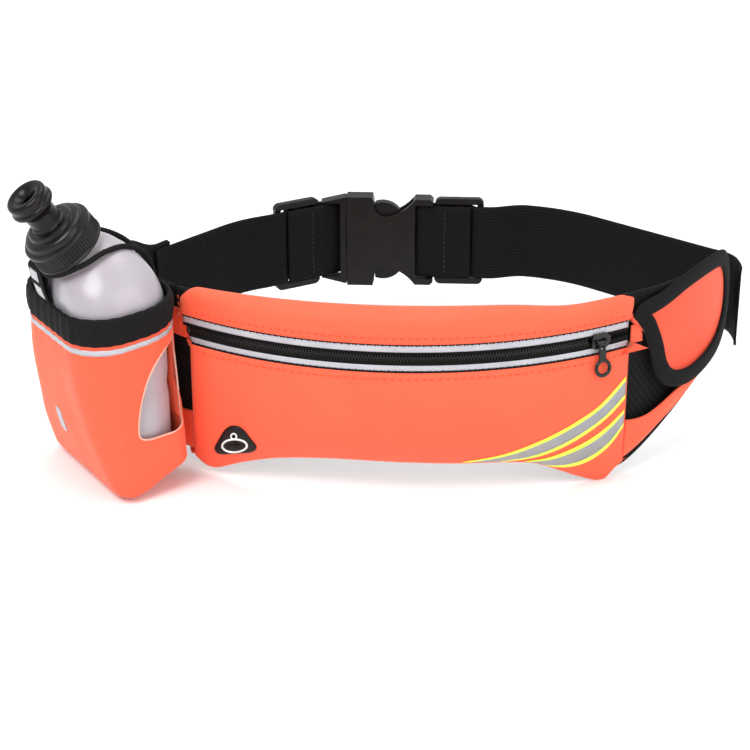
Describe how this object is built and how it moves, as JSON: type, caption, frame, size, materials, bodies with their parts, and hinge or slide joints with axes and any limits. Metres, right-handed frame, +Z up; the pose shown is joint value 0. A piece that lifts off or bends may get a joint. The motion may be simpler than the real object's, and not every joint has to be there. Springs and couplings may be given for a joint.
{
  "type": "waist pack",
  "caption": "Curved waist pack with a zipped pouch, a bottle pocket holding a squeeze bottle, an empty side pocket and an elastic belt with a side-release buckle.",
  "frame": {"origin": "middle of the waist opening, level with the middle of the belt", "axes": "+X to the right seen from in front of the pouch, +Y from the pouch towards the buckle, +Z up"},
  "size_m": [0.4137, 0.253, 0.1859],
  "materials": {
    "pouch_back_panel": "padded spacer mesh",
    "pouch_front_panel": "smooth stretch knit",
    "pouch_top_panel": "smooth stretch knit",
    "zip_tape_upper": "woven tape",
    "zip_tape_lower": "woven tape",
    "zip_reflective_upper": "heat-pressed reflective film",
    "zip_reflective_lower": "heat-pressed reflective film",
    "zip_teeth": "coated coil",
    "zip_slider": "satin black lacquer",
    "zip_pull": "satin black lacquer",
    "earphone_port": "matte",
    "earphone_ring": "printed",
    "corner_stripes_grey": "heat-pressed reflective film",
    "corner_stripes_bright": "heat-pressed film",
    "wing_right": "padded spacer mesh",
    "wing_binding_right": "woven tape",
    "wing_left": "padded spacer mesh",
    "wing_binding_left": "woven tape",
    "side_pocket_rear_rim": "elastic knit",
    "side_pocket_shell": "smooth stretch knit",
    "side_pocket_lip": "elastic knit",
    "side_pocket_lining": "smooth stretch knit",
    "strap_right": "ribbed elastic webbing",
    "strap_left": "ribbed elastic webbing",
    "strap_return_right": "ribbed elastic webbing",
    "strap_return_left": "ribbed elastic webbing",
    "adjuster_right": "satin moulding",
    "adjuster_left": "satin moulding",
    "buckle_female": "satin moulding",
    "buckle_male": "satin moulding",
    "buckle_prong_upper": "satin moulding",
    "buckle_prong_lower": "satin moulding",
    "bottle_shell": "frosted translucent",
    "bottle_cap": "satin moulding",
    "cap_seal": "matte",
    "bottle_nozzle": "satin moulding",
    "bottle_pocket_shell": "smooth stretch knit",
    "bottle_pocket_band": "elastic knit",
    "bottle_pocket_film": "heat-pressed reflective film",
    "bottle_pocket_badge": "heat-pressed reflective film",
    "retainer_tab": "ribbed elastic webbing",
    "retainer_cord": "elastic knit"
  },
  "bodies": {
    "pack": {"pouch_back_panel": "pouch_back_panel", "pouch_front_panel": "pouch_front_panel", "pouch_top_panel": "pouch_top_panel", "zip_tape_upper": "zip_tape_upper", "zip_tape_lower": "zip_tape_lower", "zip_reflective_upper": "zip_reflective_upper", "zip_reflective_lower": "zip_reflective_lower", "zip_teeth": "zip_teeth", "earphone_port": "earphone_port", "earphone_ring": "earphone_ring", "corner_stripes_grey": "corner_stripes_grey", "corner_stripes_bright": "corner_stripes_bright", "wing_right": "wing_right", "wing_binding_right": "wing_binding_right", "wing_left": "wing_left", "wing_binding_left": "wing_binding_left", "side_pocket_rear_rim": "side_pocket_rear_rim", "side_pocket_shell": "side_pocket_shell", "side_pocket_lip": "side_pocket_lip", "side_pocket_lining": "side_pocket_lining", "strap_right": "strap_right", "strap_left": "strap_left", "strap_return_left": "strap_return_left", "buckle_male": "buckle_male", "bottle_pocket_shell": "bottle_pocket_shell", "bottle_pocket_band": "bottle_pocket_band", "bottle_pocket_film": "bottle_pocket_film", "bottle_pocket_badge": "bottle_pocket_badge", "retainer_tab": "retainer_tab", "retainer_cord": "retainer_cord"},
    "zip_slider": {"zip_slider": "zip_slider"},
    "zip_pull": {"zip_pull": "zip_pull"},
    "bottle": {"bottle_shell": "bottle_shell"},
    "cap_thread": {"cap_seal": "cap_seal"},
    "bottle_cap": {"bottle_cap": "bottle_cap"},
    "bottle_nozzle": {"bottle_nozzle": "bottle_nozzle"},
    "prong_upper": {"buckle_prong_upper": "buckle_prong_upper"},
    "prong_lower": {"buckle_prong_lower": "buckle_prong_lower"},
    "buckle_female": {"buckle_female": "buckle_female", "strap_return_right": "strap_return_right"},
    "adjuster_right": {"adjuster_right": "adjuster_right"},
    "adjuster_left": {"adjuster_left": "adjuster_left"}
  },
  "joints": [
    {"name": "zip_run", "type": "hinge", "parent": "pack", "child": "zip_slider", "pos_m": [0, 0.152, 0.021], "axis": [0, 0, -1], "range_deg": [0, 60.4], "deforming": ["zip_teeth"]},
    {"name": "pull_swing", "type": "hinge", "parent": "zip_slider", "child": "zip_pull", "pos_m": [0.11518, -0.04361, 0.021], "axis": [-0.8617, -0.5074, 0], "range_deg": [0, 150]},
    {"name": "bottle_lift", "type": "slide", "parent": "pack", "child": "bottle", "axis": [0, 0, 1], "range_m": [0, 0.18], "deforming": ["retainer_cord"]},
    {"name": "cap_rise", "type": "slide", "parent": "bottle", "child": "cap_thread", "axis": [-0.4648, -0.336, 0.8192], "range_m": [0, 0.0054]},
    {"name": "cap_turn", "type": "hinge", "parent": "cap_thread", "child": "bottle_cap", "pos_m": [-0.1799, -0.04724, 0.07], "axis": [-0.4648, -0.336, 0.8192], "range_deg": [0, 540]},
    {"name": "nozzle_pull", "type": "slide", "parent": "bottle_cap", "child": "bottle_nozzle", "axis": [-0.4648, -0.336, 0.8192], "range_m": [0, 0.006]},
    {"name": "prong_upper_squeeze", "type": "hinge", "parent": "pack", "child": "prong_upper", "pos_m": [-0.042, 0.164, 0.018], "axis": [0, 1, 0], "range_deg": [0, 9], "stiffness_Nm_per_rad": 2},
    {"name": "prong_lower_squeeze", "type": "hinge", "parent": "pack", "child": "prong_lower", "pos_m": [-0.042, 0.164, -0.018], "axis": [0, -1, 0], "range_deg": [0, 9], "stiffness_Nm_per_rad": 2},
    {"name": "buckle_release", "type": "slide", "parent": "pack", "child": "buckle_female", "axis": [1, 0, 0], "range_m": [0, 0.04], "deforming": ["strap_right", "buckle_prong_upper", "buckle_prong_lower"]},
    {"name": "adjuster_right_slide", "type": "slide", "parent": "buckle_female", "child": "adjuster_right", "axis": [1, 0, 0], "range_m": [0, 0.018], "deforming": ["strap_return_right"]},
    {"name": "adjuster_left_slide", "type": "slide", "parent": "pack", "child": "adjuster_left", "axis": [-0.8482, -0.5297, 0], "range_m": [0, 0.01], "deforming": ["strap_return_left"]}
  ],
  "couplings": [
    {"joint": "cap_rise", "follows": "cap_turn", "m_per_rad": 0.00055704}
  ]
}
